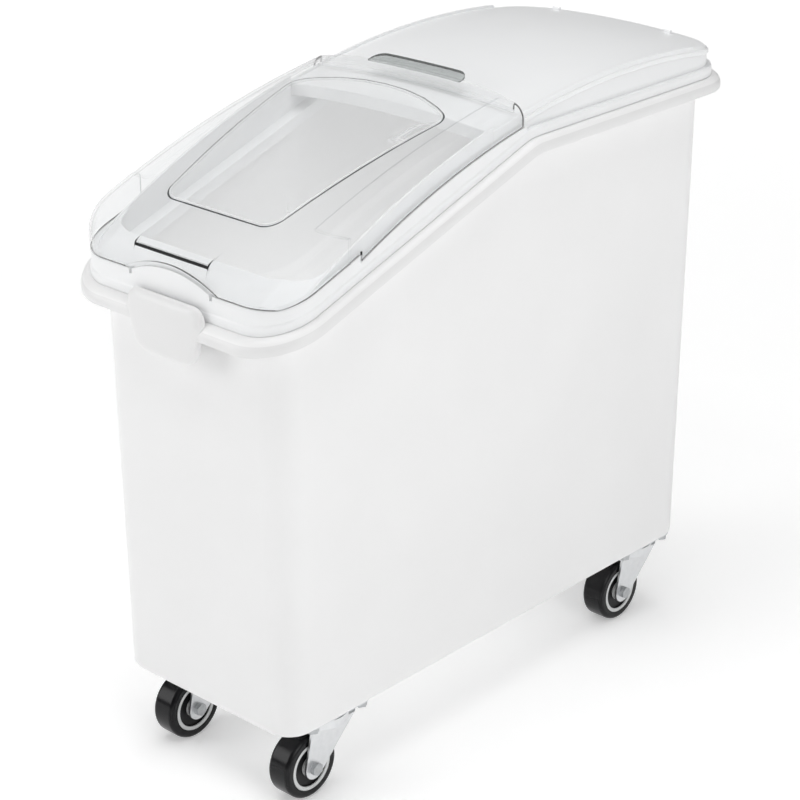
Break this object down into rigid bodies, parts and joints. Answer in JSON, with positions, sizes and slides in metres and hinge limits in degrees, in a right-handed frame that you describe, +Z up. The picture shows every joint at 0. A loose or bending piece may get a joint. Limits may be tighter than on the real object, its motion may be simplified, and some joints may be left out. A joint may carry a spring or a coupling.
{
  "type": "rolling ingredient bin",
  "caption": "Tall slant-front ingredient bin on swivel casters, with a lift-off lid frame, domed rear cover and a clear front lid that slides back over it.",
  "frame": {"origin": "on the floor, under the middle of the object's box", "axes": "+Z up, the sloping front faces -Y, +X to the right seen from behind the front"},
  "size_m": [0.328, 0.7445, 0.7279],
  "materials": {
    "white": "white polypropylene, satin moulded skin",
    "clear": "clear polished polycarbonate",
    "zinc": "bright zinc plate on pressed steel",
    "tread": "glossy black polyurethane tread",
    "grey_core": "light grey moulded core",
    "black_trim": "black moulded plastic",
    "nylon": "natural nylon",
    "brass": "turned brass"
  },
  "bodies": {
    "bin": {"bin_body": "white", "inserts": "brass", "caster_bolts": "zinc", "caster_washers": "zinc", "plate_fl": "zinc", "kingpin_fl": "zinc", "race_fl": "black_trim", "plate_fr": "zinc", "kingpin_fr": "zinc", "race_fr": "black_trim", "plate_rl": "zinc", "kingpin_rl": "zinc", "race_rl": "black_trim", "plate_rr": "zinc", "kingpin_rr": "zinc", "race_rr": "black_trim"},
    "lid_frame": {"lid_frame": "white"},
    "front_lid": {"front_lid": "clear"},
    "swivel_fl": {"fork_fl": "zinc", "axle_fl": "zinc", "axle_nut_fl": "zinc", "sleeve_fl": "zinc"},
    "wheel_fl": {"tyre_fl": "tread", "core_fl": "grey_core", "cover_fl": "black_trim", "bush_fl": "nylon"},
    "swivel_fr": {"fork_fr": "zinc", "axle_fr": "zinc", "axle_nut_fr": "zinc", "sleeve_fr": "zinc"},
    "wheel_fr": {"tyre_fr": "tread", "core_fr": "grey_core", "cover_fr": "black_trim", "bush_fr": "nylon"},
    "swivel_rl": {"fork_rl": "zinc", "axle_rl": "zinc", "axle_nut_rl": "zinc", "sleeve_rl": "zinc"},
    "wheel_rl": {"tyre_rl": "tread", "core_rl": "grey_core", "cover_rl": "black_trim", "bush_rl": "nylon"},
    "swivel_rr": {"fork_rr": "zinc", "axle_rr": "zinc", "axle_nut_rr": "zinc", "sleeve_rr": "zinc"},
    "wheel_rr": {"tyre_rr": "tread", "core_rr": "grey_core", "cover_rr": "black_trim", "bush_rr": "nylon"}
  },
  "joints": [
    {"name": "frame_lift", "type": "slide", "parent": "bin", "child": "lid_frame", "axis": [0, 0, 1], "range_m": [0, 0.15]},
    {"name": "lid_slide", "type": "hinge", "parent": "lid_frame", "child": "front_lid", "pos_m": [0, 0.18796, -0.28802], "axis": [-1, 0, 0], "range_deg": [0, 18.95]},
    {"name": "swivel_fl_turn", "type": "hinge", "parent": "bin", "child": "swivel_fl", "pos_m": [-0.091, -0.253, 0.08], "axis": [0, 0, 1], "continuous": true},
    {"name": "wheel_fl_spin", "type": "hinge", "parent": "swivel_fl", "child": "wheel_fl", "pos_m": [-0.091, -0.283, 0.0375], "axis": [1, 0, 0], "continuous": true},
    {"name": "swivel_fr_turn", "type": "hinge", "parent": "bin", "child": "swivel_fr", "pos_m": [0.091, -0.253, 0.08], "axis": [0, 0, 1], "continuous": true},
    {"name": "wheel_fr_spin", "type": "hinge", "parent": "swivel_fr", "child": "wheel_fr", "pos_m": [0.091, -0.283, 0.0375], "axis": [1, 0, 0], "continuous": true},
    {"name": "swivel_rl_turn", "type": "hinge", "parent": "bin", "child": "swivel_rl", "pos_m": [-0.091, 0.284, 0.08], "axis": [0, 0, 1], "continuous": true},
    {"name": "wheel_rl_spin", "type": "hinge", "parent": "swivel_rl", "child": "wheel_rl", "pos_m": [-0.091, 0.254, 0.0375], "axis": [1, 0, 0], "continuous": true},
    {"name": "swivel_rr_turn", "type": "hinge", "parent": "bin", "child": "swivel_rr", "pos_m": [0.091, 0.284, 0.08], "axis": [0, 0, 1], "continuous": true},
    {"name": "wheel_rr_spin", "type": "hinge", "parent": "swivel_rr", "child": "wheel_rr", "pos_m": [0.091, 0.254, 0.0375], "axis": [1, 0, 0], "continuous": true}
  ]
}
